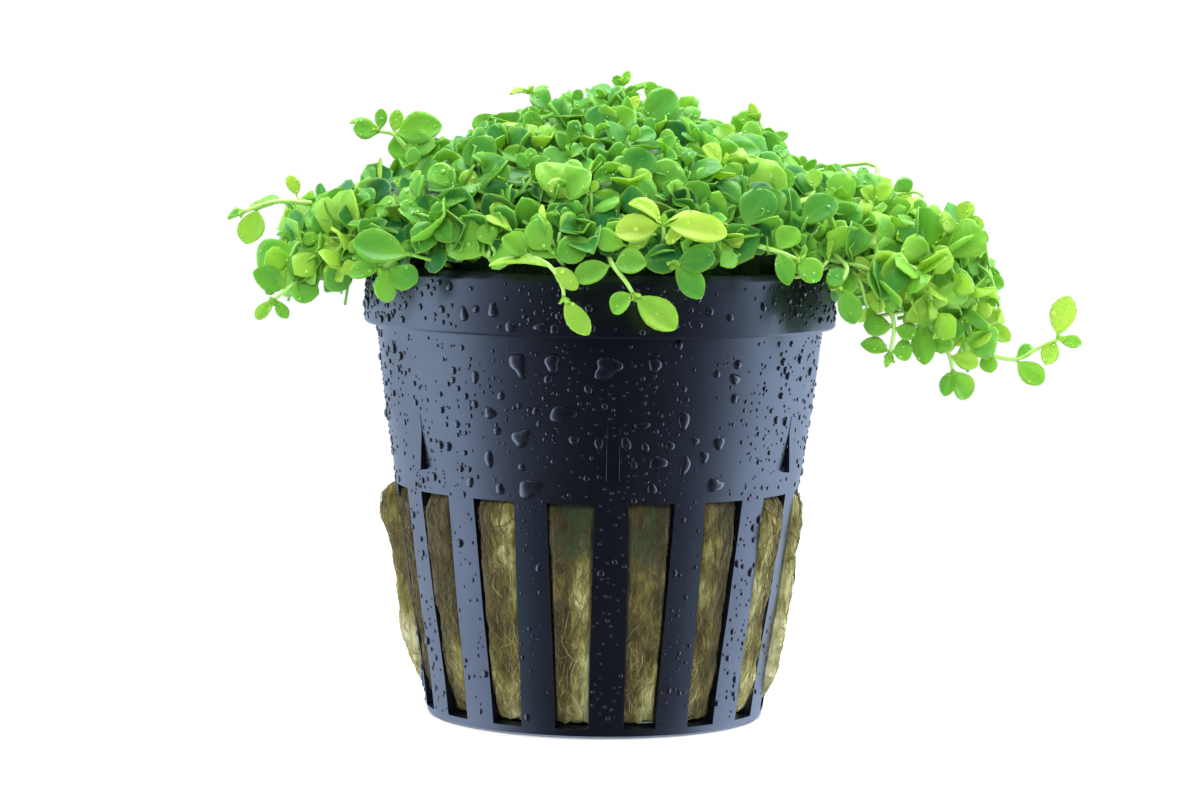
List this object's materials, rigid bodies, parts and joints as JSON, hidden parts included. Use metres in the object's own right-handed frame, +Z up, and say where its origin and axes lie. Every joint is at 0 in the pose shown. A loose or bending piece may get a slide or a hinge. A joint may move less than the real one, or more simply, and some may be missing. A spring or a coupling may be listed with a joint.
{
  "type": "potted monte carlo carpet plant",
  "caption": "Low creeping aquarium carpet plant with small round leaves, spilling over the collar of a slotted black net pot filled with rockwool.",
  "frame": {"origin": "centre of the pot's flat base, on the pot's axis", "axes": "+Z up along the pot's axis; -Y is the front, as the picture shows it; +X points along the longest runner"},
  "size_m": [0.0914, 0.0656, 0.0698],
  "materials": {
    "pot_plastic": "satin",
    "rockwool": "matte",
    "leaf": "satin",
    "sprig": "satin"
  },
  "bodies": {
    "root": {"net_pot": "pot_plastic", "rockwool_plug": "rockwool", "leaf_mound": "leaf", "runner_left": "sprig", "sprig_left_low": "sprig", "crest_left": "sprig", "crest_top_left": "sprig", "crest_top": "sprig", "crest_right": "sprig", "sprig_pale": "sprig", "runner_front": "sprig", "sprig_front": "sprig", "sprig_front_right": "sprig", "sprig_rim_left": "sprig", "sprig_rim_right": "sprig", "sprig_rim_corner": "sprig", "runner_right_inner": "sprig", "runner_right_hanging": "sprig", "runner_right": "sprig", "sprig_right_tip": "sprig", "sprig_right_edge": "sprig", "runner_back": "sprig", "sprig_back_left": "sprig", "sprig_back_right": "sprig"}
  },
  "joints": []
}
